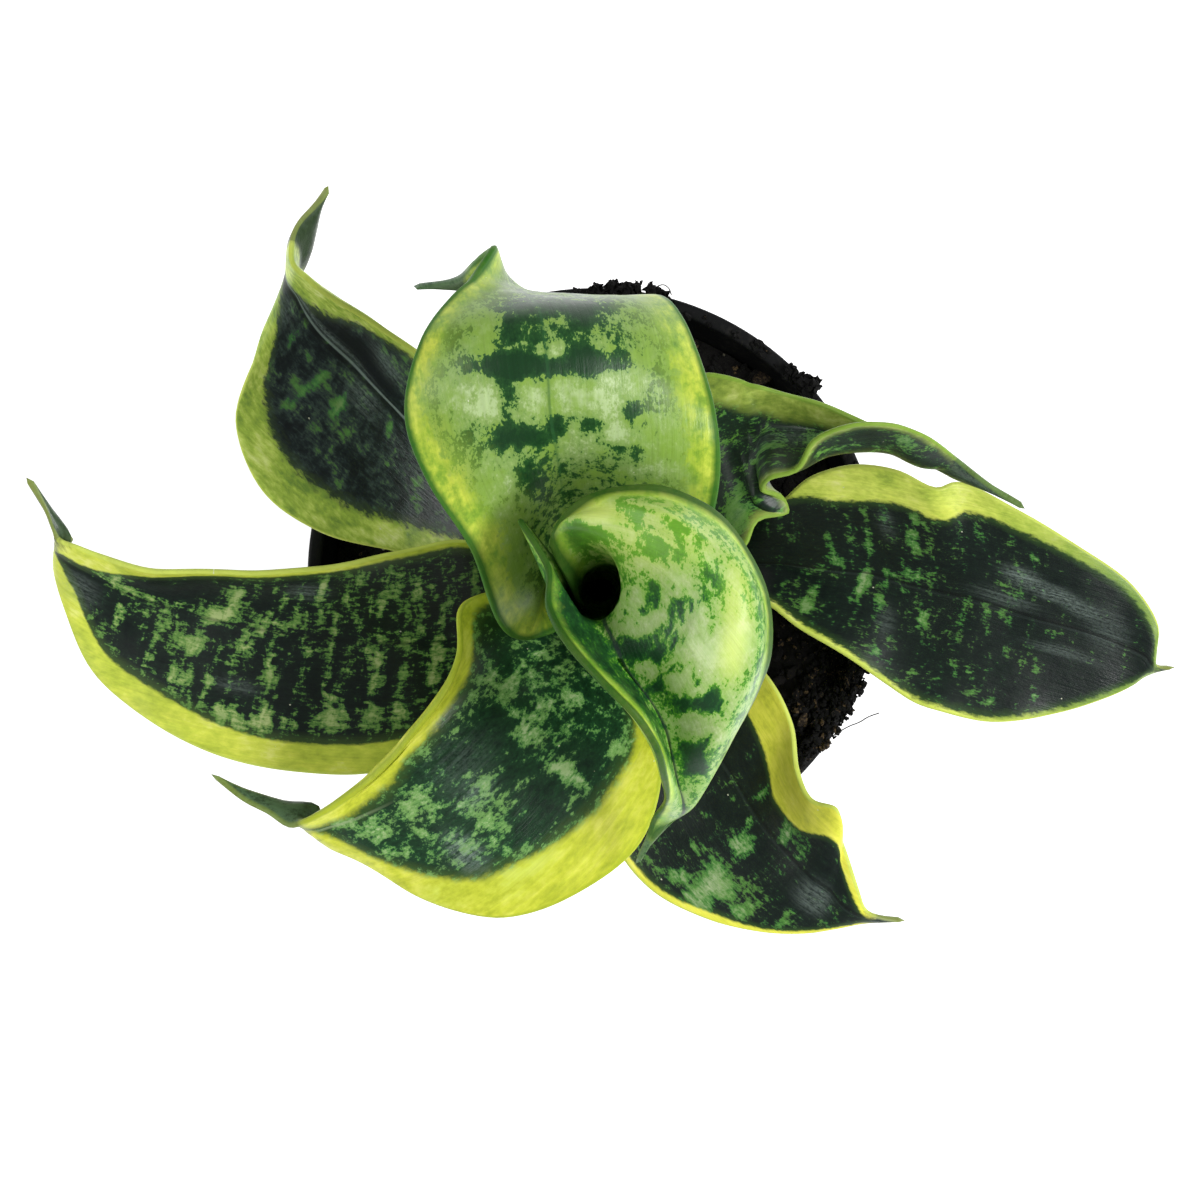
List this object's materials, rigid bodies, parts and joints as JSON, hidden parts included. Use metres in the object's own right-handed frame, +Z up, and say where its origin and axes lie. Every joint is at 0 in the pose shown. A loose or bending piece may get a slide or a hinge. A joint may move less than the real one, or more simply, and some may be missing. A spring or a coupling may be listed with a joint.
{
  "type": "potted tornado snake plant",
  "caption": "Snake plant with broad, twisted, yellow-edged mottled leaves rising from one crown in a black round nursery pot filled with potting mix.",
  "frame": {"origin": "centre of the underside of the pot, where it rests", "axes": "+Z up, along the pot's axis; +X to the right and +Y to the back as the plant is seen from above, with the two longest outer leaves reaching along -X and +X"},
  "size_m": [0.207, 0.1315, 0.189],
  "materials": {
    "pot_plastic": "black thin-walled polypropylene, satin, a little dusty with mix",
    "potting_mix": "moist peat and bark mix, dark and crumbly, with a few pale specks",
    "young_leaf": "waxy semi-gloss leaf, pale and mid-green mottling with yellow-green margins",
    "middle_leaf": "waxy semi-gloss leaf, dark green with pale speckled bands and yellow margins",
    "old_leaf": "waxy semi-gloss leaf, near-black green with broken green bands and yellow margins"
  },
  "bodies": {
    "root": {"pot": "pot_plastic", "soil": "potting_mix", "leaf_centre": "young_leaf", "leaf_back": "young_leaf", "leaf_front_left": "middle_leaf", "leaf_back_right": "middle_leaf", "leaf_left": "old_leaf", "leaf_front_right": "old_leaf", "leaf_back_left": "old_leaf", "leaf_right": "old_leaf"}
  },
  "joints": []
}
